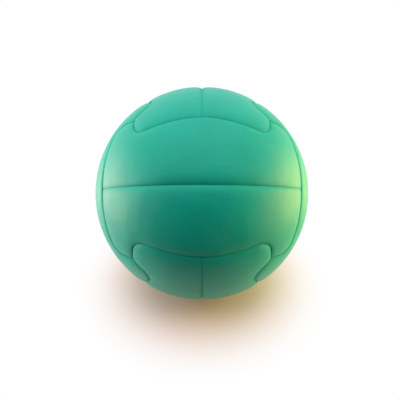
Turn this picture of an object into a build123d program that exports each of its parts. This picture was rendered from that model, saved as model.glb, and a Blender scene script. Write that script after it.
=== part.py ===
from build123d import *
import os
from math import acos, atan2, cos, degrees, radians, sin, sqrt

# Wall of the ball, from the outside in, in millimetres
ball_diameter = 178.0
panel_thickness = 2.2
carcass_thickness = 0.5
winding_thickness = 0.5
bladder_thickness = 0.9
cement_film = 0.05

# Channel between two panels, and the way a panel's face rolls down into it
channel_width = 0.4
lip_depth = 1.5
lip_chamfer = 0.3
roll_width = 9.0
roll_power = 2.5
roll_steps = 4
roll_crowding = 1.5

# Outline of the T-shaped panels: angles in degrees, seen from the ball's centre
seam_to_edge = 32.5
belly_radius = 51.0
ear_radius = 7.8
ear_from_corner = 10.3
ear_lean = 3.2

# How the ball lies: the middle of its front face looks this far up from the level
lie_tilt = 33.3

# Inflating valve, in the middle of the upper back panel
valve_radius = 4.0
valve_clearance = 0.05
valve_recess = 0.4
valve_depth = 9.0
flange_radius = 11.0
flange_thickness = 1.2
plug_radius = 2.4
plug_foot_radius = 3.2
plug_foot_length = 2.5
needle_radius = 0.9
needle_depth = 6.0

ball_radius = ball_diameter / 2
panel_floor = ball_radius - panel_thickness
carcass_outer = panel_floor - cement_film
carcass_inner = carcass_outer - carcass_thickness
winding_outer = carcass_inner - cement_film
winding_inner = winding_outer - winding_thickness
bladder_outer = winding_inner - cement_film
bladder_inner = bladder_outer - bladder_thickness
flange_outer = bladder_inner - cement_film

valve_hole_length = 4 * panel_thickness

centre = Vector(0, 0, 0)
corner = Vector(1, -1, 1).normalized()
corner_axis = Axis(centre, corner)


# Direction from the ball's centre: straight ahead is -Y, then aside to +X, then up to +Z
def aim(aside, up):
    level = cos(radians(up))
    return Vector(level * sin(radians(aside)), -level * cos(radians(aside)), sin(radians(up)))


# The two directions that have these cosines with two axes
def shared(first, first_cosine, second, second_cosine):
    lean = first.dot(second)
    along_first = (first_cosine - lean * second_cosine) / (1 - lean**2)
    along_second = (second_cosine - lean * first_cosine) / (1 - lean**2)
    flat = first * along_first + second * along_second
    rise = first.cross(second).normalized() * sqrt(1 - flat.dot(flat))
    return flat + rise, flat - rise


# Nearest point to a direction on the great circle with this pole
def foot(pole, direction):
    return (direction - pole * pole.dot(direction)).normalized()


# Turn about an axis, in radians, that carries one direction to another
def turn_between(axis, start, end):
    return atan2(axis.dot(start.cross(end)), start.dot(end) - axis.dot(start) * axis.dot(end))


# Half of a face's long edge, from its middle to the corner where three faces meet.
# Each stretch is an arc about its own axis, written (axis, start, end): belly, run, ear and tail.
def half_edge():
    middle = aim(0, seam_to_edge)
    belly_axis = aim(0, seam_to_edge - belly_radius)
    level = corner.cross(Vector(0, 0, 1)).normalized()
    down = corner.cross(level)
    to_ear = level * cos(radians(ear_lean)) + down * sin(radians(ear_lean))
    ear_axis = corner * cos(radians(ear_from_corner)) + to_ear * sin(radians(ear_from_corner))
    ear_sine = sin(radians(ear_radius))
    run_pole = shared(belly_axis, -sin(radians(belly_radius)), ear_axis, ear_sine)[0]
    tail_pole = shared(ear_axis, ear_sine, corner, 0)[0]
    run_start = foot(run_pole, belly_axis)
    run_end = foot(run_pole, ear_axis)
    tail_start = foot(tail_pole, ear_axis)
    belly = (belly_axis, middle, run_start)
    run = (run_pole, run_start, run_end)
    ear = (ear_axis, run_end, tail_start)
    tail = (tail_pole, tail_start, corner)
    return [belly, run, ear, tail]


def reversed_way(stretch):
    axis, start, end = stretch
    return axis, end, start


# The same stretch on the left side of the face
def mirrored(stretch):
    return tuple(Vector(-v.X, v.Y, v.Z) for v in stretch)


# The same stretch a third of a turn about the corner: from the front's top edge to its right end
def carried(stretch):
    return tuple(v.rotate(corner_axis, 120) for v in stretch)


# Outline of the front's upper panel, along the middle of its channels, with the panel on the left
def panel_outline():
    half = half_edge()
    belly_axis, _, belly_end = half[0]
    belly = (belly_axis, belly_end, Vector(-belly_end.X, belly_end.Y, belly_end.Z))
    top_right = [reversed_way(stretch) for stretch in half[:0:-1]]
    top_left = [mirrored(stretch) for stretch in half[1:]]
    right_end = [carried(stretch) for stretch in half]
    left_end = [mirrored(reversed_way(stretch)) for stretch in right_end[::-1]]
    seam = (Vector(0, 0, 1), left_end[-1][2], right_end[0][1])
    return [seam] + right_end + top_right + [belly] + top_left + left_end


# Cosine of the angle from a stretch to its axis, once the outline has shrunk by this angle
def shrunk_cosine(stretch, shrink):
    axis, start, end = stretch
    inward = shrink if turn_between(axis, start, end) > 0 else -shrink
    return cos(acos(axis.dot(start)) - inward)


# Where two neighbouring stretches meet, once the outline has shrunk by this angle
def shrunk_joint(before, after, shrink):
    joint = after[1]
    inward = []
    for axis, start, end in (before, after):
        towards_axis = (axis - joint * axis.dot(joint)).normalized()
        inward.append(towards_axis if turn_between(axis, start, end) > 0 else -towards_axis)
    if (inward[0] - inward[1]).length < 1e-6:
        return joint * cos(shrink) + inward[0] * sin(shrink)
    spots = shared(before[0], shrunk_cosine(before, shrink), after[0], shrunk_cosine(after, shrink))
    return min(spots, key=lambda spot: (spot - joint).length)


# Outline of the panel, this far in from the middle of its channels and this deep in the ball
def panel_ring(inset, depth):
    outline = panel_outline()
    joints = [shrunk_joint(outline[i - 1], outline[i], inset / ball_radius) for i in range(len(outline))]
    distance = ball_radius - depth
    ring = []
    for i, (axis, _, _) in enumerate(outline):
        start = joints[i]
        end = joints[(i + 1) % len(joints)]
        half_turn = degrees(turn_between(axis, start, end)) / 2
        middle = start.rotate(Axis(centre, axis), half_turn)
        ring.append(ThreePointArc(start * distance, middle * distance, end * distance).edge())
    return ring


# Section of a panel's edge, from its floor up to its crown: inset and depth of each step
def edge_section():
    wall = channel_width / 2
    section = [(wall, panel_thickness), (wall, lip_depth + lip_chamfer)]
    for step in range(roll_steps + 1):
        inward = lip_chamfer + (roll_width - lip_chamfer) * (step / roll_steps) ** roll_crowding
        section.append((wall + inward, lip_depth * (1 - inward / roll_width) ** roll_power))
    return section


# Piece of a sphere inside a ring that lies on it
def cap(ring, distance):
    ball = (Rot(Z=90) * Sphere(distance)).face()
    pieces = ball.split_by_perimeter(Wire(ring), keep=Keep.BOTH)
    return min(pieces, key=lambda piece: piece.area)


# Upper panel of the front face: floor, stepped edge all round, and crown
def make_panel():
    section = edge_section()
    rings = [panel_ring(inset, depth) for inset, depth in section]
    skin = [cap(rings[0], panel_floor), cap(rings[-1], ball_radius)]
    for lower, upper in zip(rings, rings[1:]):
        skin += [Face.make_surface_from_curves(low, high) for low, high in zip(lower, upper)]
    return Solid(Shell(skin))


# Height of a sphere above the ball's centre, this far out from the upright axis
def dome(distance, out):
    return sqrt(distance**2 - out**2)


# Solid turned about the upright axis from a section of (out, up) lines
def turned(*lines):
    return revolve(Plane.XZ * make_face(Curve() + list(lines)), Axis.Z, 360)


# One closed layer of the ball, with a round hole for the valve at its top
def layer(outer, inner):
    hole_top = (valve_radius, dome(outer, valve_radius))
    hole_foot = (valve_radius, dome(inner, valve_radius))
    return turned(
        ThreePointArc(hole_top, (outer, 0), (0, -outer)),
        Line((0, -outer), (0, -inner)),
        ThreePointArc((0, -inner), (inner, 0), hole_foot),
        Line(hole_foot, hole_top),
    )


# Valve, upright: the tip lies a little below the panel round it
tip = dome(ball_radius, valve_radius) - valve_recess
valve_foot = tip - valve_depth
barrel = valve_radius - valve_clearance
pocket_top = valve_foot + plug_foot_length + valve_clearance


# Rubber barrel with a flange that is cemented inside the bladder
def make_valve_housing():
    flange_inner = flange_outer - flange_thickness
    half_way = (barrel + flange_radius) / 2
    bore = plug_radius + valve_clearance
    pocket = plug_foot_radius + valve_clearance
    upper = [(out, dome(flange_outer, out)) for out in (barrel, half_way, flange_radius)]
    under = [(out, dome(flange_inner, out)) for out in (flange_radius, half_way, barrel)]
    return turned(
        Polyline((bore, tip), (barrel, tip), upper[0]),
        ThreePointArc(*upper),
        Line(upper[-1], under[0]),
        ThreePointArc(*under),
        Polyline(under[-1], (barrel, valve_foot), (pocket, valve_foot), (pocket, pocket_top),
                 (bore, pocket_top), (bore, tip)),
    )


# Self-sealing plug: a footed stem with a blind duct for the inflating needle
def make_valve_plug():
    stem_foot = valve_foot + plug_foot_length
    duct_end = tip - needle_depth
    return turned(
        Polyline((needle_radius, tip), (plug_radius, tip), (plug_radius, stem_foot),
                 (plug_foot_radius, stem_foot), (plug_foot_radius, valve_foot), (0, valve_foot),
                 (0, duct_end), (needle_radius, duct_end), (needle_radius, tip)),
    )


# Turns that carry the front's upper panel to each place: thirds about the corner, then a half turn
panel_places = {
    "front_upper_panel": (0, None),
    "front_lower_panel": (0, Axis.Y),
    "back_upper_panel": (0, Axis.Z),
    "back_lower_panel": (0, Axis.X),
    "right_front_panel": (1, None),
    "right_back_panel": (1, Axis.X),
    "left_front_panel": (1, Axis.Y),
    "left_back_panel": (1, Axis.Z),
    "top_right_panel": (2, None),
    "top_left_panel": (2, Axis.Z),
    "bottom_right_panel": (2, Axis.X),
    "bottom_left_panel": (2, Axis.Y),
}

lie = Rot(X=-lie_tilt)
valve_place = Rot(X=seam_to_edge / 2 - 90)
valve_hole = valve_place * (Pos(Z=ball_radius) * Cylinder(valve_radius, valve_hole_length))

inner_parts = {
    "carcass": layer(carcass_outer, carcass_inner),
    "winding": layer(winding_outer, winding_inner),
    "bladder": layer(bladder_outer, bladder_inner),
    "valve_housing": make_valve_housing(),
    "valve_plug": make_valve_plug(),
}
parts = {name: valve_place * piece for name, piece in inner_parts.items()}

first_panel = make_panel()
for name, (thirds, half_turn_axis) in panel_places.items():
    panel = first_panel.rotate(corner_axis, 120 * thirds)
    if half_turn_axis:
        panel = panel.rotate(half_turn_axis, 180)
    parts[name] = panel
parts["back_upper_panel"] = parts["back_upper_panel"] - valve_hole

os.makedirs("parts", exist_ok=True)
for name, piece in parts.items():
    export_step(lie * piece, f"parts/{name}.step")
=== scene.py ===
import math

import bpy
import numpy as np
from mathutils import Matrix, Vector
from mathutils.geometry import delaunay_2d_cdt


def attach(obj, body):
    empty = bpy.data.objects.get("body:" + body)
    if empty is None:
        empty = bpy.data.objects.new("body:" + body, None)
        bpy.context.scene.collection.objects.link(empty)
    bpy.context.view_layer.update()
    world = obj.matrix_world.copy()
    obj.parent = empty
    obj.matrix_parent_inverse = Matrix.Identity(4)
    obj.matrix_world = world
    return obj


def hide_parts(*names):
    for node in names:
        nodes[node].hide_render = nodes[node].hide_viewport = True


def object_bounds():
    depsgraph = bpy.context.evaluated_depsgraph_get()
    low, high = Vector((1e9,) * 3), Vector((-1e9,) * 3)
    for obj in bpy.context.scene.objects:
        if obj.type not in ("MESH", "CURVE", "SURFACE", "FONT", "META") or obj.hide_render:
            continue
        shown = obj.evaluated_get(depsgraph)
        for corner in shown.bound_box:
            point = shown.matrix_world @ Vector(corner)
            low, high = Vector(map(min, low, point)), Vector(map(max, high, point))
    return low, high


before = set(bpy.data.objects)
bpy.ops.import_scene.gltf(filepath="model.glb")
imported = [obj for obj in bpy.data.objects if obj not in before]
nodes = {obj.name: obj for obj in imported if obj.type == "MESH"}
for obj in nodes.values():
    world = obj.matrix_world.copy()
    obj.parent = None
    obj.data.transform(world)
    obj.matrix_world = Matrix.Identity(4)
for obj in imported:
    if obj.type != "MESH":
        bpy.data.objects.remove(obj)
cadLow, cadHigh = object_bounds()
scene = bpy.context.scene
print("frame loaded:", len(nodes), "CAD nodes")


# Camera on the photo's side of the ball, aimed at its centre
cameraSetup = {
    "elevation": 29.8,
    "distance": 0.3293,
    "lens": 34.13,
    "sensor": 36.0,
    "shiftX": -0.0047,
    "shiftY": -0.0172,
}


def makeCamera(setup):
    data = bpy.data.cameras.new("photoCamera")
    data.lens = setup["lens"]
    data.sensor_width = setup["sensor"]
    data.shift_x = setup["shiftX"]
    data.shift_y = setup["shiftY"]
    camera = bpy.data.objects.new("photoCamera", data)
    up = math.radians(setup["elevation"])
    camera.location = Vector((0, -math.cos(up), math.sin(up))) * setup["distance"]
    camera.rotation_euler = (math.radians(90) - up, 0, 0)
    scene.collection.objects.link(camera)
    scene.camera = camera


makeCamera(cameraSetup)
print("camera set")


# Cover panels: lengths in metres, angles in degrees seen from the ball's centre
coverPanel = {
    "ballRadius": 0.08896,
    "thickness": 0.0022,
    "channelHalf": 0.00002,
    "pillowDepth": 0.0014,      # slow swell of a panel up from its channels
    "pillowReach": 0.0030,
    "rollDepth": 0.0003,        # tighter roll of the lip itself
    "rollReach": 0.0010,
    "longEdgeShare": 0.6,       # share of the swell along a long edge: the ends beside it lie deeper
    "lipRound": 0.00004,
    "lipSteps": 2,
    "seamShallow": 0.55,        # share of its depth that a face's middle seam loses towards its ends
    "shallowFrom": 14.0,
    "shallowTo": 50.0,
    "cornerCut": 0.0022,        # rounding of the corners, seen from above
    "seamToEdge": 32.5,
    "bellyRadius": 51.0,
    "earRadius": 7.8,
    "earFromCorner": 10.3,
    "earLean": 3.2,
    "lieTilt": 33.3,
    "insets": (0.0002, 0.0004, 0.0006, 0.0009, 0.0012, 0.0017,
               0.0023, 0.0030, 0.0038, 0.0047, 0.0058, 0.0070),
    "ringSpacing": 0.0009,
    "leastSteps": 4,            # points on even the shortest stretch of a ring
    "cornerCrowding": 0.75,     # how strongly a ring's points crowd towards a real corner
    "edgeFineness": 3,          # distances are measured to an edge with this many times a ring's points
    "fillSpacing": 0.0018,
    "ringMargin": 0.6,          # shares of the spacing that the fill keeps off the last ring and the hole
    "holeMargin": 0.5,
    "valveRadius": 0.0040,
    "valveRound": 0.0005,
    "valveRoundSteps": 5,
    "valveRingCount": 64,
    "holeNear": 0.5,            # shade of the rounding at the valve's hole, where a channel's floor has 1
    "shadeReach": 0.0011,       # how far a channel's shade reaches over the panels
}
ballRadius = coverPanel["ballRadius"]
cubeCorner = np.array((1.0, -1.0, 1.0)) / math.sqrt(3)
tolerances = {
    "sameWay": 1e-6,            # two inward directions that count as one
    "atEdge": 1e-7,             # distance of the edge from itself, in metres
    "mapPoints": 1e-9,          # points of the flat map that count as one, in metres
    "levelLine": 1e-12,         # rise that stands for a level line's
}


# Direction from the ball's centre: straight ahead is -Y, then aside to +X, then up to +Z
def aimAt(aside, up):
    aside, up = math.radians(aside), math.radians(up)
    level = math.cos(up)
    return np.array((level * math.sin(aside), -level * math.cos(aside), math.sin(up)))


def unit(v):
    return v / np.linalg.norm(v, axis=-1, keepdims=True)


# Turn of points about an axis through the centre, by one angle or an angle each
def spun(points, axis, angle):
    angle = np.asarray(angle)[..., None]
    along = (points @ axis)[..., None] * axis
    return along + (points - along) * np.cos(angle) + np.cross(axis, points) * np.sin(angle)


def turnMatrix(axis, degrees):
    return spun(np.eye(3), np.asarray(axis, float), math.radians(degrees)).T


# The two directions that have these cosines with two axes
def sharedDirections(first, firstCosine, second, secondCosine):
    lean = first @ second
    flat = first * (firstCosine - lean * secondCosine) + second * (secondCosine - lean * firstCosine)
    flat = flat / (1 - lean**2)
    rise = unit(np.cross(first, second)) * math.sqrt(1 - flat @ flat)
    return flat + rise, flat - rise


def footOn(pole, direction):
    return unit(direction - pole * (pole @ direction))


def turnBetween(axis, start, end):
    return math.atan2(axis @ np.cross(start, end), start @ end - (axis @ start) * (axis @ end))


# Half of a face's long edge, from its middle to the corner: belly, run, ear and tail as (axis, start, end)
def halfEdge(p):
    middle = aimAt(0, p["seamToEdge"])
    bellyAxis = aimAt(0, p["seamToEdge"] - p["bellyRadius"])
    level = unit(np.cross(cubeCorner, (0, 0, 1)))
    down = np.cross(cubeCorner, level)
    lean, away = math.radians(p["earLean"]), math.radians(p["earFromCorner"])
    toEar = level * math.cos(lean) + down * math.sin(lean)
    earAxis = cubeCorner * math.cos(away) + toEar * math.sin(away)
    earSine = math.sin(math.radians(p["earRadius"]))
    runPole = sharedDirections(bellyAxis, -math.sin(math.radians(p["bellyRadius"])), earAxis, earSine)[0]
    tailPole = sharedDirections(earAxis, earSine, cubeCorner, 0)[0]
    runStart, runEnd = footOn(runPole, bellyAxis), footOn(runPole, earAxis)
    tailStart = footOn(tailPole, earAxis)
    return [
        (bellyAxis, middle, runStart),
        (runPole, runStart, runEnd),
        (earAxis, runEnd, tailStart),
        (tailPole, tailStart, cubeCorner),
    ]


def backwards(stretch):
    return stretch[0], stretch[2], stretch[1]


def mirrored(stretch):
    return tuple(v * np.array((-1, 1, 1)) for v in stretch)


def carried(stretch):
    third = turnMatrix(cubeCorner, 120)
    return tuple(third @ v for v in stretch)


# Outline of the front's upper panel, along the middle of its channels, with the panel on the left
def panelOutline(p):
    half = halfEdge(p)
    bellyAxis, bellyEnd = half[0][0], half[0][2]
    belly = (bellyAxis, bellyEnd, bellyEnd * np.array((-1, 1, 1)))
    topRight = [backwards(s) for s in half[:0:-1]]
    topLeft = [mirrored(s) for s in half[1:]]
    rightEnd = [carried(s) for s in half]
    leftEnd = [mirrored(backwards(s)) for s in rightEnd[::-1]]
    seam = (np.array((0.0, 0.0, 1.0)), leftEnd[-1][2], rightEnd[0][1])
    return [seam] + rightEnd + topRight + [belly] + topLeft + leftEnd


# Real corners of the outline, and the smooth runs between them: middle seam, right end, long edge, left end
outline = panelOutline(coverPanel)
cornerJoints = (0, 1, 5, 12)
runCount = len(cornerJoints)
middleSeamRun, longEdgeRun = 0, 2
runOfStretch = np.repeat(np.arange(runCount), np.diff(cornerJoints + (len(outline),)))


# Where two neighbouring stretches meet, once the outline has shrunk by this angle
def shrunkJoint(before, after, shrink):
    joint = after[1]
    inward, cosines = [], []
    for axis, start, end in (before, after):
        side = 1 if turnBetween(axis, start, end) > 0 else -1
        inward.append(unit(axis - joint * (axis @ joint)) * side)
        cosines.append(math.cos(math.acos(axis @ start) - shrink * side))
    if np.linalg.norm(inward[0] - inward[1]) < tolerances["sameWay"]:
        return joint * math.cos(shrink) + inward[0] * math.sin(shrink)
    spots = sharedDirections(before[0], cosines[0], after[0], cosines[1])
    return min(spots, key=lambda spot: np.linalg.norm(spot - joint))


# Steps along a stretch, from 0 to 1: they are closer together near a real corner
def stretchSteps(p, index, count):
    t = np.arange(count) / count
    startsAtCorner = index in cornerJoints
    endsAtCorner = (index + 1) % len(outline) in cornerJoints
    if startsAtCorner and endsAtCorner:
        return t - np.sin(2 * math.pi * t) / (2 * math.pi) * p["cornerCrowding"]
    if startsAtCorner:
        return t - np.sin(math.pi * t) / math.pi * p["cornerCrowding"]
    if endsAtCorner:
        return t + np.sin(math.pi * t) / math.pi * p["cornerCrowding"]
    return t


# Directions of one ring of the panel, this far in from the middle of its channels
def ringDirections(p, inset, counts):
    shrink = inset / ballRadius
    joints = [shrunkJoint(outline[i - 1], outline[i], shrink) for i in range(len(outline))]
    ring = []
    for i, (axis, _, _) in enumerate(outline):
        turn = turnBetween(axis, joints[i], joints[(i + 1) % len(joints)])
        ring.append(spun(joints[i], axis, turn * stretchSteps(p, i, counts[i])))
    ring = np.vstack(ring)
    cut = max(p["cornerCut"] - (inset - p["channelHalf"]), 0) / ballRadius
    if cut > 0:
        starts = np.cumsum([0] + list(counts))
        for joint in cornerJoints:
            roundCorner(ring, starts[joint], cut)
    return ring


# Rounds one corner of a ring: the points within the cut move to a curve that touches both sides
def roundCorner(ring, at, cut):
    total = len(ring)
    corner = ring[at].copy()
    sides = {}
    for way in (-1, 1):
        step = 1
        while np.linalg.norm(ring[(at + way * step) % total] - corner) < cut:
            step += 1
        far = ring[(at + way * step) % total]
        sides[way] = (step, corner + unit(far - corner) * cut)
    moved = {}
    for way in (-1, 1):
        for k in range(0 if way == 1 else 1, sides[way][0]):
            i = (at + way * k) % total
            t = (1 + way * np.linalg.norm(ring[i] - corner) / cut) / 2
            moved[i] = sides[-1][1] * (1 - t) ** 2 + corner * 2 * t * (1 - t) + sides[1][1] * t**2
    for i, place in moved.items():
        ring[i] = unit(place)


# How near each direction is to each run of channel, from 0 to 1; the middle seam runs out shallow
def nearRuns(p, directions, distances, reach):
    near = np.exp(-distances / reach)
    aside = np.degrees(np.arctan2(np.abs(directions[:, 0]), -directions[:, 1]))
    t = np.clip((aside - p["shallowFrom"]) / (p["shallowTo"] - p["shallowFrom"]), 0, 1)
    near[:, middleSeamRun] *= 1 - p["seamShallow"] * t * t * (3 - 2 * t)
    return near


# How deep the panel's face lies below the crown: it swells up away from each run of channel
def swellDepth(p, directions, distances):
    pillow = nearRuns(p, directions, distances, p["pillowReach"])
    pillow[:, longEdgeRun] *= p["longEdgeShare"]
    roll = nearRuns(p, directions, distances, p["rollReach"])
    depth = p["pillowDepth"] * (1 - np.prod(1 - pillow, axis=1))
    return depth + p["rollDepth"] * (1 - np.prod(1 - roll, axis=1))


# How strongly a channel shades each direction, from 0 to 1
def channelNearness(p, directions, distances):
    return nearRuns(p, directions, distances, p["shadeReach"]).max(axis=1)


# Distance of each direction to each run of the panel's edge
def runDistances(directions, edge, edgeRuns):
    result = np.empty((len(directions), runCount))
    for run in range(runCount):
        reach = directions @ edge[edgeRuns == run].T
        result[:, run] = np.arccos(np.clip(reach.max(axis=1), -1, 1)) * ballRadius
    return result


def gapTo(loop, points):
    return np.linalg.norm(points[:, None] - loop[None], axis=2).min(axis=1)


def insideLoop(points, loop):
    x, y = points[:, 0][:, None], points[:, 1][:, None]
    x1, y1 = loop[:, 0], loop[:, 1]
    x2, y2 = np.roll(x1, -1), np.roll(y1, -1)
    crosses = (y1 > y) != (y2 > y)
    rise = np.where(y2 == y1, tolerances["levelLine"], y2 - y1)
    return (np.sum(crosses & (x < x1 + (y - y1) / rise * (x2 - x1)), axis=1) % 2) == 1


# Flat map round the middle of the panel, in metres, and back to directions
def toMap(directions, middle, east, north):
    scale = 2 * ballRadius / (1 + directions @ middle)
    return np.stack(((directions @ east) * scale, (directions @ north) * scale), axis=1)


def fromMap(points, middle, east, north):
    flat = points / (2 * ballRadius)
    square = np.sum(flat**2, axis=1, keepdims=True)
    return ((1 - square) * middle + 2 * flat[:, :1] * east + 2 * flat[:, 1:] * north) / (1 + square)


# Middle of the panel, which is also the valve's axis
def panelMiddle(p):
    return aimAt(0, p["seamToEdge"] / 2)


# Ring of directions round the valve, this far from its axis
def valveDirections(p, radius):
    axis = panelMiddle(p)
    tilt = radius / ballRadius
    start = axis * math.cos(tilt) + np.array((1.0, 0.0, 0.0)) * math.sin(tilt)
    return spun(start, axis, np.linspace(0, 2 * math.pi, p["valveRingCount"], endpoint=False))


# Triangles that fill the panel inside its last ring, and round the valve's hole where it has one
def fillCrown(p, ring, valveRing):
    middle = panelMiddle(p)
    east = np.array((1.0, 0.0, 0.0))
    north = np.cross(middle, east)
    loop = toMap(ring, middle, east, north)
    spacing = p["fillSpacing"]
    rowSpacing = spacing * math.sqrt(0.75)      # as in equilateral triangles
    columns = np.arange(loop[:, 0].min(), loop[:, 0].max(), spacing)
    rows = np.arange(loop[:, 1].min(), loop[:, 1].max(), rowSpacing)
    lattice = np.array([(x + spacing / 2 * (j % 2), y) for j, y in enumerate(rows) for x in columns])
    lattice = lattice[insideLoop(lattice, loop)]
    lattice = lattice[gapTo(loop, lattice) > spacing * p["ringMargin"]]
    corners = loop
    edges = [(i, (i + 1) % len(loop)) for i in range(len(loop))]
    if valveRing is not None:
        hole = toMap(valveRing, middle, east, north)
        clear = gapTo(hole, lattice) > spacing * p["holeMargin"]
        lattice = lattice[clear & ~insideLoop(lattice, hole)]
        edges += [(len(loop) + i, len(loop) + (i + 1) % len(hole)) for i in range(len(hole))]
        corners = np.vstack((loop, hole))
    points = np.vstack((corners, lattice))
    made = delaunay_2d_cdt([Vector(v) for v in points], edges, [], 0, tolerances["mapPoints"])
    source = [orig[0] for orig in made[3]]
    triangles = np.array([[source[i] for i in face] for face in made[2]])
    centres = points[triangles].mean(axis=1)
    inside = insideLoop(centres, loop)
    if valveRing is not None:
        inside &= ~insideLoop(centres, hole)
    triangles = triangles[inside]
    a, b, c = (points[triangles[:, k]] for k in range(3))
    turn = (b[:, 0] - a[:, 0]) * (c[:, 1] - a[:, 1]) - (b[:, 1] - a[:, 1]) * (c[:, 0] - a[:, 0])
    triangles[turn < 0] = triangles[turn < 0][:, ::-1]
    return fromMap(lattice, middle, east, north), triangles


def stretchLength(stretch):
    axis, start, end = stretch
    return abs(turnBetween(axis, start, end)) * math.sqrt(1 - (axis @ start) ** 2) * ballRadius


# Rounded lip and swell of a panel's edge, going inwards: inset of each ring, and its drop at the lip
def edgeSteps(p):
    half, lipRound = p["channelHalf"], p["lipRound"]
    steps = []
    for k in range(p["lipSteps"] + 1):
        bend = math.pi / 2 * k / p["lipSteps"]
        steps.append((half + lipRound * (1 - math.cos(bend)), lipRound * (1 - math.sin(bend))))
    return steps + [(half + inset, 0.0) for inset in p["insets"]]


# Whole panel in its front upper place: points, faces and how near each point is to a channel
def buildPanel(p, withValveHole):
    counts = [max(p["leastSteps"], math.ceil(stretchLength(s) / p["ringSpacing"])) for s in outline]
    runs = np.repeat(runOfStretch, counts)
    half = p["channelHalf"]
    fineCounts = [count * p["edgeFineness"] for count in counts]
    edge = ringDirections(p, half, fineCounts)
    edgeRuns = np.repeat(runOfStretch, fineCounts)
    floorRadius = ballRadius - p["thickness"]

    points, near, faces = [], [], []

    def addRing(directions, radii, shade):
        start = sum(len(block) for block in points)
        points.append(directions * np.broadcast_to(radii, len(directions))[:, None])
        near.append(np.broadcast_to(shade, len(directions)))
        return np.arange(start, start + len(directions))

    def bridge(rings):
        for first, second in zip(rings, rings[1:]):
            sides = (first, np.roll(first, -1), np.roll(second, -1), second)
            faces.extend(zip(*(side.tolist() for side in sides)))

    # wall, lip and swell
    rings = [addRing(ringDirections(p, half, counts), floorRadius, 1.0)]
    for inset, lipDrop in edgeSteps(p):
        directions = ringDirections(p, inset, counts)
        distances = runDistances(directions, edge, edgeRuns)
        distances[np.arange(len(runs)), runs] = max(inset - half, tolerances["atEdge"])
        radii = ballRadius - swellDepth(p, directions, distances) - lipDrop
        rings.append(addRing(directions, radii, channelNearness(p, directions, distances)))
    bridge(rings)

    # crown
    crown = [rings[-1]]
    valveRing = None
    if withValveHole:
        valveRing = valveDirections(p, p["valveRadius"] + p["valveRound"])
        hole = [addRing(valveRing, ballRadius, 0.0)]
        crown += hole
    lattice, triangles = fillCrown(p, directions, valveRing)
    distances = runDistances(lattice, edge, edgeRuns)
    radii = ballRadius - swellDepth(p, lattice, distances)
    crown.append(addRing(lattice, radii, channelNearness(p, lattice, distances)))
    faces += [tuple(face) for face in np.concatenate(crown)[triangles].tolist()]

    # floor, which the same triangles close
    floor = [addRing(directions, floorRadius, 0.0)]
    bridge([floor[0], rings[0]])
    if withValveHole:
        for k in range(1, p["valveRoundSteps"] + 1):
            bend = math.pi / 2 * k / p["valveRoundSteps"]
            ring = valveDirections(p, p["valveRadius"] + p["valveRound"] * (1 - math.sin(bend)))
            drop = p["valveRound"] * (1 - math.cos(bend))
            hole.append(addRing(ring, ballRadius - drop, p["holeNear"]))
        hole.append(addRing(valveDirections(p, p["valveRadius"]), floorRadius, 1.0))
        hole.append(addRing(valveRing, floorRadius, 0.0))
        bridge(hole)
        floor.append(hole[-1])
    floor.append(addRing(lattice, floorRadius, 0.0))
    faces += [tuple(face[::-1]) for face in np.concatenate(floor)[triangles].tolist()]
    return np.vstack(points), faces, np.concatenate(near)


# Places of the panels: thirds of a turn about the cube's corner, then a half turn
panelPlaces = {
    "front_upper_panel": (0, None),
    "front_lower_panel": (0, (0, 1, 0)),
    "back_upper_panel": (0, (0, 0, 1)),
    "back_lower_panel": (0, (1, 0, 0)),
    "right_front_panel": (1, None),
    "right_back_panel": (1, (1, 0, 0)),
    "left_front_panel": (1, (0, 1, 0)),
    "left_back_panel": (1, (0, 0, 1)),
    "top_right_panel": (2, None),
    "top_left_panel": (2, (0, 0, 1)),
    "bottom_right_panel": (2, (1, 0, 0)),
    "bottom_left_panel": (2, (0, 1, 0)),
}
lieTurn = turnMatrix((1, 0, 0), -coverPanel["lieTilt"])
sharpAngle = 50     # degrees between two faces from which their edge is drawn sharp


def makeMesh(name, points, faces):
    mesh = bpy.data.meshes.new(name)
    mesh.from_pydata(points.tolist(), [], faces)
    mesh.validate()
    mesh.polygons.foreach_set("use_smooth", [True] * len(mesh.polygons))
    mesh.set_sharp_from_angle(angle=math.radians(sharpAngle))
    piece = bpy.data.objects.new(name, mesh)
    scene.collection.objects.link(piece)
    return piece


plainPanel = buildPanel(coverPanel, False)
valvePanel = buildPanel(coverPanel, True)
panels = []
for node, (thirds, halfTurn) in panelPlaces.items():
    points, faces, near = valvePanel if node == "back_upper_panel" else plainPanel
    place = turnMatrix(cubeCorner, 120 * thirds)
    if halfTurn:
        place = turnMatrix(halfTurn, 180) @ place
    panel = makeMesh("cover_" + node, points @ (lieTurn @ place).T, faces)
    panel.data.attributes.new("channelNear", "FLOAT", "POINT").data.foreach_set("value", near)
    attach(panel, "root")
    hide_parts(node)
    panels.append(panel)
print("panels:", len(panels), "with", len(plainPanel[1]), "faces each")


# Valve: sections of (out, up) in metres about its own axis, the tip a little below the panel round it
valve = {
    "barrel": 0.00395,
    "bore": 0.00245,
    "pocket": 0.00325,
    "pocketTop": 0.08206,
    "tip": 0.08851,
    "foot": 0.07951,
    "tipRound": 0.0004,
    "boreRound": 0.0002,
    "footRound": 0.0003,
    "flangeOut": 0.0110,
    "flangeTop": 0.0847,
    "flangeUnder": 0.0835,
    "flangeSteps": 6,
    "stem": 0.0024,
    "stemRound": 0.0003,
    "stemFoot": 0.08201,
    "plugFoot": 0.0032,
    "duct": 0.0009,
    "ductMouth": 0.0014,
    "ductMouthDepth": 0.0005,
    "ductEnd": 0.08251,
    "roundSteps": 5,
    "segments": 64,
}


# Quarter round in a section, from one (out, up) point to another, bulging towards the corner
def quarterRound(start, end, corner, steps):
    start, end, corner = (np.array(v) for v in (start, end, corner))
    turns = np.linspace(0, math.pi / 2, steps + 1)
    centre = start + end - corner
    return [tuple(centre + (start - centre) * math.cos(t) + (end - centre) * math.sin(t)) for t in turns]


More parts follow.
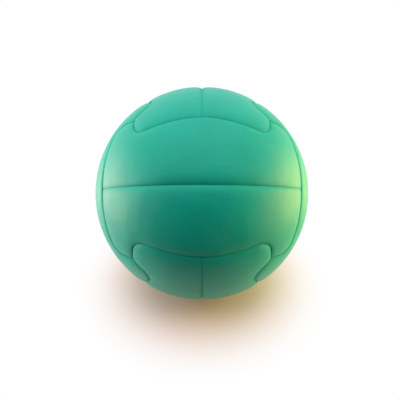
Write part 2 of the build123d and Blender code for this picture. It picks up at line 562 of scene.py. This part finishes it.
def housingSection(v):
    n = v["roundSteps"]
    tip, foot, barrel, bore = v["tip"], v["foot"], v["barrel"], v["bore"]
    outs = np.linspace(barrel, v["flangeOut"], v["flangeSteps"] + 1)
    flangeTop = [(out, math.sqrt(v["flangeTop"] ** 2 - out**2)) for out in outs]
    flangeUnder = [(out, math.sqrt(v["flangeUnder"] ** 2 - out**2)) for out in outs[::-1]]
    section = [(bore, v["pocketTop"])]
    section += quarterRound((bore, tip - v["boreRound"]), (bore + v["boreRound"], tip), (bore, tip), n)
    section += quarterRound((barrel - v["tipRound"], tip), (barrel, tip - v["tipRound"]), (barrel, tip), n)
    section += flangeTop + flangeUnder
    section += quarterRound((barrel, foot + v["footRound"]), (barrel - v["footRound"], foot),
                            (barrel, foot), n)
    section += [(v["pocket"], foot), (v["pocket"], v["pocketTop"])]
    return section, True


def plugSection(v):
    n = v["roundSteps"]
    tip, foot, stem, duct = v["tip"], v["foot"], v["stem"], v["duct"]
    section = [(0, v["ductEnd"]), (duct, v["ductEnd"])]
    section += quarterRound((duct, tip - v["ductMouthDepth"]), (v["ductMouth"], tip), (duct, tip), n)
    section += quarterRound((stem - v["stemRound"], tip), (stem, tip - v["stemRound"]), (stem, tip), n)
    section += [(stem, v["stemFoot"]), (v["plugFoot"], v["stemFoot"])]
    section += quarterRound((v["plugFoot"], foot + v["footRound"]), (v["plugFoot"] - v["footRound"], foot),
                            (v["plugFoot"], foot), n)
    section += [(0, foot)]
    return section, False


# Closed mesh turned from a section about the valve's axis; a point on the axis becomes one pole
def turnedMesh(section, closed, segments):
    points, starts, faces = [], [], []
    turns = np.linspace(0, 2 * math.pi, segments, endpoint=False)
    for out, up in section:
        starts.append(len(points))
        if out == 0:
            points.append((0, 0, up))
        else:
            points += [(out * math.cos(t), out * math.sin(t), up) for t in turns]
    pairs = list(zip(range(len(section)), range(1, len(section))))
    if closed:
        pairs.append((len(section) - 1, 0))
    for first, second in pairs:
        for i in range(segments):
            j = (i + 1) % segments
            a, b = starts[first], starts[second]
            if section[first][0] == 0:
                faces.append((a, b + i, b + j))
            elif section[second][0] == 0:
                faces.append((a + i, b, a + j))
            else:
                faces.append((a + i, b + i, b + j, a + j))
    return np.array(points), faces


valveTurn = lieTurn @ turnMatrix((1, 0, 0), coverPanel["seamToEdge"] / 2 - 90)
valvePieces = []
for node, sectionOf in (("valve_housing", housingSection), ("valve_plug", plugSection)):
    section, closed = sectionOf(valve)
    points, faces = turnedMesh(section, closed, valve["segments"])
    piece = makeMesh("rounded_" + node, points @ valveTurn.T, faces)
    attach(piece, "root")
    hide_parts(node)
    valvePieces.append(piece)
print("valve pieces:", len(valvePieces))


# Node helpers
def newMaterial(name):
    material = bpy.data.materials.new(name)
    material.use_nodes = True
    tree = material.node_tree
    shader = next(n for n in tree.nodes if n.type == "BSDF_PRINCIPLED")
    return material, tree, shader


def addNode(tree, kind, settings=None, values=None):
    node = tree.nodes.new(kind)
    for key, value in (settings or {}).items():
        setattr(node, key, value)
    for key, value in (values or {}).items():
        node.inputs[key].default_value = value
    return node


def newGroup(name, inputs, outputs):
    group = bpy.data.node_groups.new(name, "ShaderNodeTree")
    for label, kind, value in inputs:
        group.interface.new_socket(label, in_out="INPUT", socket_type=kind).default_value = value
    for label, kind in outputs:
        group.interface.new_socket(label, in_out="OUTPUT", socket_type=kind)
    return group, group.nodes.new("NodeGroupInput"), group.nodes.new("NodeGroupOutput")


def useGroup(tree, group, values=None):
    return addNode(tree, "ShaderNodeGroup", {"node_tree": group}, values)


def dress(piece, material):
    piece.data.materials.clear()
    piece.data.materials.append(material)


floatSocket, colorSocket = "NodeSocketFloat", "NodeSocketColor"
whiteColor, blackColor = (1, 1, 1, 1), (0, 0, 0, 1)


# Noise in a group, placed by the piece's own coordinates and scaled by one of the group's inputs
def addNoise(group, start, scale, values):
    where = addNode(group, "ShaderNodeTexCoord")
    noise = addNode(group, "ShaderNodeTexNoise", None, values)
    group.links.new(where.outputs["Object"], noise.inputs["Vector"])
    group.links.new(start.outputs[scale], noise.inputs["Scale"])
    return noise.outputs["Fac"]


# Moulded skin: slow waves left by the mould and a fine grain, as one height from 0 to 1
def makeMouldedSkin():
    group, start, end = newGroup(
        "mouldedSkin",
        [
            ("Wave Scale", floatSocket, 40),
            ("Grain Scale", floatSocket, 900),
            ("Grain Share", floatSocket, 0.3),
        ],
        [("Height", floatSocket)],
    )
    wave = addNoise(group, start, "Wave Scale", {"Detail": 2, "Roughness": 0.5})
    grain = addNoise(group, start, "Grain Scale", {"Detail": 4, "Roughness": 0.6})
    both = addNode(group, "ShaderNodeMix", {"data_type": "FLOAT"})
    group.links.new(start.outputs["Grain Share"], both.inputs["Factor"])
    group.links.new(wave, both.inputs["A"])
    group.links.new(grain, both.inputs["B"])
    group.links.new(both.outputs["Result"], end.inputs["Height"])
    return group


# Slow drift of a colour's depth, as cured rubber has
def makeColourDrift():
    group, start, end = newGroup(
        "colourDrift",
        [("Color", colorSocket, whiteColor), ("Scale", floatSocket, 25), ("Amount", floatSocket, 0.1)],
        [("Color", colorSocket)],
    )
    noise = addNoise(group, start, "Scale", {"Detail": 5, "Roughness": 0.55})
    # 0 to 1 becomes -1 to 1, and that much of the amount is added to a value of 1
    swing = addNode(group, "ShaderNodeMath", {"operation": "MULTIPLY_ADD"}, {1: 2.0, 2: -1.0})
    value = addNode(group, "ShaderNodeMath", {"operation": "MULTIPLY_ADD"}, {2: 1.0})
    shade = addNode(group, "ShaderNodeHueSaturation")
    group.links.new(noise, swing.inputs[0])
    group.links.new(swing.outputs[0], value.inputs[0])
    group.links.new(start.outputs["Amount"], value.inputs[1])
    group.links.new(value.outputs[0], shade.inputs["Value"])
    group.links.new(start.outputs["Color"], shade.inputs["Color"])
    group.links.new(shade.outputs["Color"], end.inputs["Color"])
    return group


# Rubbed patches: a sparse mask of soft spots with a finely broken edge
def makeRubbedPatches():
    group, start, end = newGroup(
        "rubbedPatches",
        [("Scale", floatSocket, 35), ("From", floatSocket, 0.56), ("To", floatSocket, 0.75)],
        [("Mask", floatSocket)],
    )
    noise = addNoise(group, start, "Scale", {"Detail": 7, "Roughness": 0.62, "Distortion": 0.4})
    spread = addNode(group, "ShaderNodeMapRange", {"interpolation_type": "SMOOTHSTEP"})
    group.links.new(noise, spread.inputs["Value"])
    group.links.new(start.outputs["From"], spread.inputs["From Min"])
    group.links.new(start.outputs["To"], spread.inputs["From Max"])
    group.links.new(spread.outputs["Result"], end.inputs["Mask"])
    return group


# Painted shade near a channel: a darker colour laid on by the channel's nearness, broken up by noise
def makeChannelPaintedShade():
    group, start, end = newGroup(
        "channelPaintedShade",
        [("Near", floatSocket, 0), ("Scale", floatSocket, 300), ("Amount", floatSocket, 0.5)],
        [("Mask", floatSocket)],
    )
    noise = addNoise(group, start, "Scale", {"Detail": 4})
    broken = addNode(group, "ShaderNodeMapRange", None, {"From Min": 0.3, "From Max": 0.7, "To Min": 0.6})
    near = addNode(group, "ShaderNodeMath", {"operation": "MULTIPLY"})
    mask = addNode(group, "ShaderNodeMath", {"operation": "MULTIPLY", "use_clamp": True})
    group.links.new(noise, broken.inputs["Value"])
    group.links.new(start.outputs["Near"], near.inputs[0])
    group.links.new(broken.outputs["Result"], near.inputs[1])
    group.links.new(near.outputs[0], mask.inputs[0])
    group.links.new(start.outputs["Amount"], mask.inputs[1])
    group.links.new(mask.outputs[0], end.inputs["Mask"])
    return group


# Thread wound in three directions: how high the uppermost thread lies at each spot
threadTurns = ((0.3, 0.1, 0.2), (1.2, 0.4, 0.9), (0.5, 1.3, 2.0))


def makeWoundThread():
    group, start, end = newGroup("woundThread", [("Scale", floatSocket, 500)], [("Height", floatSocket)])
    where = addNode(group, "ShaderNodeTexCoord")
    last = None
    for turn in threadTurns:
        turned = addNode(group, "ShaderNodeMapping", None, {"Rotation": turn})
        bands = addNode(group, "ShaderNodeTexWave", None, {"Distortion": 0.6, "Detail": 1})
        group.links.new(where.outputs["Object"], turned.inputs["Vector"])
        group.links.new(turned.outputs["Vector"], bands.inputs["Vector"])
        group.links.new(start.outputs["Scale"], bands.inputs["Scale"])
        if last is None:
            last = bands.outputs["Fac"]
        else:
            upper = addNode(group, "ShaderNodeMath", {"operation": "MAXIMUM"})
            group.links.new(last, upper.inputs[0])
            group.links.new(bands.outputs["Fac"], upper.inputs[1])
            last = upper.outputs[0]
    group.links.new(last, end.inputs["Height"])
    return group


mouldedSkin = makeMouldedSkin()
colourDrift = makeColourDrift()
rubbedPatches = makeRubbedPatches()
channelPaintedShade = makeChannelPaintedShade()
woundThread = makeWoundThread()


# Bump from a group's height, deep in metres
def addBump(tree, shader, height, deep):
    bump = addNode(tree, "ShaderNodeBump", None, {"Distance": deep})
    tree.links.new(height, bump.inputs["Height"])
    tree.links.new(bump.outputs["Normal"], shader.inputs["Normal"])


def addColorMix(tree, mask, under, over):
    mix = addNode(tree, "ShaderNodeMix", {"data_type": "RGBA"}, {"B": over})
    tree.links.new(mask, mix.inputs["Factor"])
    tree.links.new(under, mix.inputs["A"])
    return mix.outputs["Result"]


# What the rubbers share: a drifting colour, a roughness that changes where it is rubbed, and the skin
def addDrift(tree, look, scale):
    values = {"Color": look["color"], "Scale": scale, "Amount": look["drift"]}
    return useGroup(tree, colourDrift, values).outputs["Color"]


def addRoughness(tree, rubbed, plain, rubbedRoughness):
    rough = addNode(tree, "ShaderNodeMapRange", None, {"To Min": plain, "To Max": rubbedRoughness})
    tree.links.new(rubbed, rough.inputs["Value"])
    return rough.outputs["Result"]


def addSkin(tree, shader, look):
    skin = useGroup(tree, mouldedSkin, {
        "Wave Scale": look["waveScale"],
        "Grain Scale": look["grainScale"],
        "Grain Share": look["grainShare"],
    })
    addBump(tree, shader, skin.outputs["Height"], look["bumpDepth"])


# Rubber of the cover: turquoise, matte, with rubbed patches, and duller channels with painted shade that
# darkens the colour near them
coverRubber = {
    "color": (0.003, 0.42, 0.3, 1),
    "drift": 0.16,
    "driftScale": 26,
    "rubbedColor": (0.10, 0.50, 0.40, 1),
    "rubbedShare": 0.18,
    # painted shade: the darker colour laid on near the channels, and how much of it
    "paintedShadeColor": (0.002, 0.17, 0.125, 1),
    "paintedShade": 0.12,
    "roughness": 0.42,
    "rubbedRoughness": 0.48,
    "channelRoughness": 0.90,
    "specular": 0.3,
    "sheen": 0.03,
    "sheenRoughness": 0.4,
    "waveScale": 45,
    "grainScale": 1400,
    "grainShare": 0.2,
    "bumpDepth": 0.0010,
}


def makeCoverRubber(look):
    material, tree, shader = newMaterial("coverRubber")
    near = addNode(tree, "ShaderNodeAttribute", {"attribute_name": "channelNear"})
    patches = useGroup(tree, rubbedPatches)
    paintedShade = useGroup(tree, channelPaintedShade, {"Amount": look["paintedShade"]})
    tree.links.new(near.outputs["Fac"], paintedShade.inputs["Near"])
    share = addNode(tree, "ShaderNodeMath", {"operation": "MULTIPLY"}, {1: look["rubbedShare"]})
    tree.links.new(patches.outputs["Mask"], share.inputs[0])
    color = addDrift(tree, look, look["driftScale"])
    color = addColorMix(tree, share.outputs[0], color, look["rubbedColor"])
    # painted shade: the colour turns darker near the channels
    color = addColorMix(tree, paintedShade.outputs["Mask"], color, look["paintedShadeColor"])
    tree.links.new(color, shader.inputs["Base Color"])
    rough = addRoughness(tree, patches.outputs["Mask"], look["roughness"], look["rubbedRoughness"])
    dull = addNode(tree, "ShaderNodeMix", {"data_type": "FLOAT"}, {"B": look["channelRoughness"]})
    tree.links.new(near.outputs["Fac"], dull.inputs["Factor"])
    tree.links.new(rough, dull.inputs["A"])
    tree.links.new(dull.outputs["Result"], shader.inputs["Roughness"])
    shader.inputs["Specular IOR Level"].default_value = look["specular"]
    shader.inputs["Sheen Weight"].default_value = look["sheen"]
    shader.inputs["Sheen Roughness"].default_value = look["sheenRoughness"]
    addSkin(tree, shader, look)
    return material


# Plain rubbers: the underlay in the channels, the bladder and the valve
plainRubbers = {
    "carcassRubber": {"color": (0.003, 0.20, 0.145, 1), "drift": 0.15, "roughness": 0.6, "specular": 0.25,
                      "waveScale": 60, "grainScale": 1500, "grainShare": 0.5, "bumpDepth": 0.0003},
    "bladderRubber": {"color": (0.022, 0.022, 0.023, 1), "drift": 0.2, "roughness": 0.45, "specular": 0.5,
                      "waveScale": 30, "grainScale": 900, "grainShare": 0.2, "bumpDepth": 0.0004},
    "valveRubber": {"color": (0.028, 0.028, 0.029, 1), "drift": 0.25, "roughness": 0.5, "specular": 0.5,
                    "waveScale": 300, "grainScale": 3500, "grainShare": 0.6, "bumpDepth": 0.00012},
}
rubbedRise = 0.12       # how much rougher a plain rubber is where it is rubbed


def makePlainRubber(name, look):
    material, tree, shader = newMaterial(name)
    tree.links.new(addDrift(tree, look, look["waveScale"]), shader.inputs["Base Color"])
    patches = useGroup(tree, rubbedPatches, {"Scale": look["waveScale"]})
    rough = addRoughness(tree, patches.outputs["Mask"], look["roughness"], look["roughness"] + rubbedRise)
    tree.links.new(rough, shader.inputs["Roughness"])
    shader.inputs["Specular IOR Level"].default_value = look["specular"]
    addSkin(tree, shader, look)
    return material


# Nylon thread of the winding, set in latex
nylonThread = {
    "color": (0.72, 0.70, 0.63, 1),
    "gapColor": (0.30, 0.26, 0.18, 1),
    "gapBelow": 0.35,           # heights between which a gap turns to thread
    "threadAbove": 0.75,
    "drift": 0.08,
    "driftScale": 60,
    "roughness": 0.55,
    "threadScale": 320,
    "threadDepth": 0.0003,
}


def makeNylonThread(look):
    material, tree, shader = newMaterial("nylonThread")
    thread = useGroup(tree, woundThread, {"Scale": look["threadScale"]})
    gap = addNode(tree, "ShaderNodeMapRange", None, {
        "From Min": look["gapBelow"], "From Max": look["threadAbove"], "To Min": 1, "To Max": 0})
    tree.links.new(thread.outputs["Height"], gap.inputs["Value"])
    color = addDrift(tree, look, look["driftScale"])
    color = addColorMix(tree, gap.outputs["Result"], color, look["gapColor"])
    tree.links.new(color, shader.inputs["Base Color"])
    shader.inputs["Roughness"].default_value = look["roughness"]
    addBump(tree, shader, thread.outputs["Height"], look["threadDepth"])
    return material


coverMaterial = makeCoverRubber(coverRubber)
for panel in panels:
    dress(panel, coverMaterial)
rubbers = {name: makePlainRubber(name, look) for name, look in plainRubbers.items()}
dress(nodes["carcass"], rubbers["carcassRubber"])
dress(nodes["bladder"], rubbers["bladderRubber"])
dress(nodes["winding"], makeNylonThread(nylonThread))
for piece in valvePieces:
    dress(piece, rubbers["valveRubber"])
print("materials done")


# White surroundings, a white floor, a dark card in front and a low warm lamp on each side
studio = {
    "floorSize": 6.0,
    "floorColor": (0.74, 0.60, 0.57, 1),
    "whiteFrom": 0.045,         # distances from the ball's foot between which the floor fades to white
    "whiteTo": 0.128,
    "surroundSeen": 1.0,
    "surroundLight": 0.75,
    "cardFoot": (0.2, -0.15),   # half width and place of the card's lower and upper edges
    "cardTop": (0.65, -0.6),
    "cardHeight": 0.9,
    "cardColor": (0.01, 0.01, 0.01, 1),
}
lamps = {
    "overhead": {"place": (0, -0.13, 0.75), "facing": (0, 0.17, -0.98), "size": (1.0, 1.0),
                 "brightness": 1.42, "color": (1, 1, 1), "mirrored": False},
    "leftStrip": {"place": (-0.30, 0, 0.01), "facing": (1, 0, 0), "size": (0.26, 0.19),
                  "brightness": 6.0, "color": (1, 0.65, 0.56), "mirrored": True},
    "rightStrip": {"place": (0.30, 0, 0.01), "facing": (-1, 0, 0), "size": (0.28, 0.19),
                   "brightness": 7.0, "color": (1, 0.65, 0.12), "mirrored": True},
}


# One for rays that show a surface: from the camera, mirrored or passing through
def addSeenRays(tree):
    path = addNode(tree, "ShaderNodeLightPath")
    total = path.outputs["Is Camera Ray"]
    for ray in ("Is Glossy Ray", "Is Transmission Ray"):
        both = addNode(tree, "ShaderNodeMath", {"operation": "MAXIMUM"})
        tree.links.new(total, both.inputs[0])
        tree.links.new(path.outputs[ray], both.inputs[1])
        total = both.outputs[0]
    return total


# Floor that keeps the shadow near the ball and is plain white further out, where it is seen
def makeFloor(setup):
    half = setup["floorSize"] / 2
    low = cadLow.z
    corners = np.array(((-half, -half, low), (half, -half, low), (half, half, low), (-half, half, low)))
    floor = makeMesh("floor", corners, [(0, 1, 2, 3)])
    material, tree, shader = newMaterial("whiteFloor")
    shader.inputs["Roughness"].default_value = 1.0
    shader.inputs["Specular IOR Level"].default_value = 0.0
    shader.inputs["Emission Color"].default_value = whiteColor
    where = addNode(tree, "ShaderNodeNewGeometry")
    away = addNode(tree, "ShaderNodeVectorMath", {"operation": "DISTANCE"}, {1: (0, 0, low)})
    fade = addNode(tree, "ShaderNodeMapRange", {"interpolation_type": "SMOOTHERSTEP"}, {
        "From Min": setup["whiteFrom"], "From Max": setup["whiteTo"]})
    tree.links.new(where.outputs["Position"], away.inputs[0])
    tree.links.new(away.outputs["Value"], fade.inputs["Value"])
    glow = addNode(tree, "ShaderNodeMath", {"operation": "MULTIPLY"})
    tree.links.new(fade.outputs["Result"], glow.inputs[0])
    tree.links.new(addSeenRays(tree), glow.inputs[1])
    color = addNode(tree, "ShaderNodeMix", {"data_type": "RGBA"}, {"A": setup["floorColor"], "B": blackColor})
    tree.links.new(glow.outputs[0], color.inputs["Factor"])
    tree.links.new(color.outputs["Result"], shader.inputs["Base Color"])
    tree.links.new(glow.outputs[0], shader.inputs["Emission Strength"])
    dress(floor, material)


def makeCard(setup):
    low, high = cadLow.z, cadLow.z + setup["cardHeight"]
    (footHalf, foot), (topHalf, top) = setup["cardFoot"], setup["cardTop"]
    corners = np.array((
        (-footHalf, foot, low),
        (footHalf, foot, low),
        (topHalf, top, high),
        (-topHalf, top, high),
    ))
    card = makeMesh("darkCard", corners, [(0, 1, 2, 3)])
    card.visible_camera = False
    material, _, shader = newMaterial("darkCard")
    shader.inputs["Base Color"].default_value = setup["cardColor"]
    shader.inputs["Roughness"].default_value = 1.0
    dress(card, material)


def makeWorld(setup):
    world = bpy.data.worlds.new("surround")
    world.use_nodes = True
    scene.world = world
    background = next(n for n in world.node_tree.nodes if n.type == "BACKGROUND")
    background.inputs["Color"].default_value = whiteColor
    strength = addNode(world.node_tree, "ShaderNodeMapRange", None, {
        "To Min": setup["surroundLight"], "To Max": setup["surroundSeen"]})
    world.node_tree.links.new(addSeenRays(world.node_tree), strength.inputs["Value"])
    world.node_tree.links.new(strength.outputs["Result"], background.inputs["Strength"])


def makeLamp(name, lamp):
    data = bpy.data.lights.new(name, "AREA")
    data.shape = "RECTANGLE"
    data.size, data.size_y = lamp["size"]
    data.color = lamp["color"]
    data.energy = lamp["brightness"] * math.pi * data.size * data.size_y
    lampObject = bpy.data.objects.new(name, data)
    lampObject.location = lamp["place"]
    lampObject.rotation_euler = (-Vector(lamp["facing"])).to_track_quat("Z", "Y").to_euler()
    lampObject.visible_camera = False
    lampObject.visible_glossy = lamp["mirrored"]
    scene.collection.objects.link(lampObject)


makeFloor(studio)
makeCard(studio)
makeWorld(studio)
for name, lamp in lamps.items():
    makeLamp(name, lamp)
print("studio:", len(lamps), "lamps")

scene.view_settings.view_transform = "Standard"
